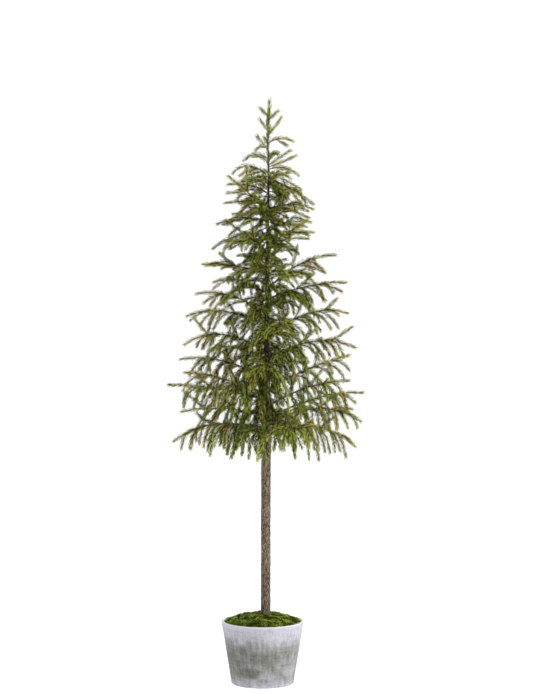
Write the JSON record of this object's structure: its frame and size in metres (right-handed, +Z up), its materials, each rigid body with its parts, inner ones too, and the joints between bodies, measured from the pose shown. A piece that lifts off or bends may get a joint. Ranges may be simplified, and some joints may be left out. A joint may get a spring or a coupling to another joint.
{
  "type": "artificial potted conifer tree",
  "caption": "Artificial conifer on a bare straight stem, with a cone of drooping needle sprays, in a small tapered whitewashed pot topped with moss.",
  "frame": {"origin": "middle of the pot's flat underside, on the surface that it stands on", "axes": "+Z up along the stem, +X to the right and -Y towards the viewer, seen from the front"},
  "size_m": [0.5056, 0.4448, 1.473],
  "materials": {
    "pot": "matte",
    "filling": "matte",
    "moss": "matte",
    "bark": "matte",
    "needles": "matte"
  },
  "bodies": {
    "root": {"pot": "pot", "pot_fill": "filling", "moss": "moss", "stem": "bark", "bough_04": "bark", "bough_05": "bark", "bough_07": "bark", "bough_09": "bark", "bough_11": "bark", "bough_13": "bark", "bough_16": "bark", "foliage_01": "needles", "foliage_02": "needles", "foliage_03": "needles", "foliage_04": "needles", "foliage_05": "needles", "foliage_06": "needles", "foliage_07": "needles", "foliage_08": "needles", "foliage_09": "needles", "foliage_10": "needles", "foliage_11": "needles", "foliage_12": "needles", "foliage_13": "needles", "foliage_14": "needles", "foliage_15": "needles", "foliage_16": "needles", "foliage_17": "needles", "foliage_18": "needles", "foliage_19": "needles", "foliage_20": "needles", "foliage_21": "needles", "foliage_22": "needles", "foliage_23": "needles", "foliage_24": "needles", "foliage_25": "needles", "foliage_26": "needles", "foliage_27": "needles", "foliage_28": "needles", "foliage_29": "needles", "foliage_30": "needles", "foliage_31": "needles", "foliage_32": "needles", "foliage_33": "needles", "foliage_34": "needles", "foliage_35": "needles", "foliage_36": "needles", "foliage_37": "needles", "foliage_38": "needles", "foliage_39": "needles", "foliage_40": "needles", "foliage_41": "needles", "foliage_42": "needles", "foliage_43": "needles", "foliage_44": "needles", "foliage_45": "needles", "foliage_46": "needles", "foliage_47": "needles", "foliage_48": "needles", "foliage_leader": "needles"}
  },
  "joints": []
}
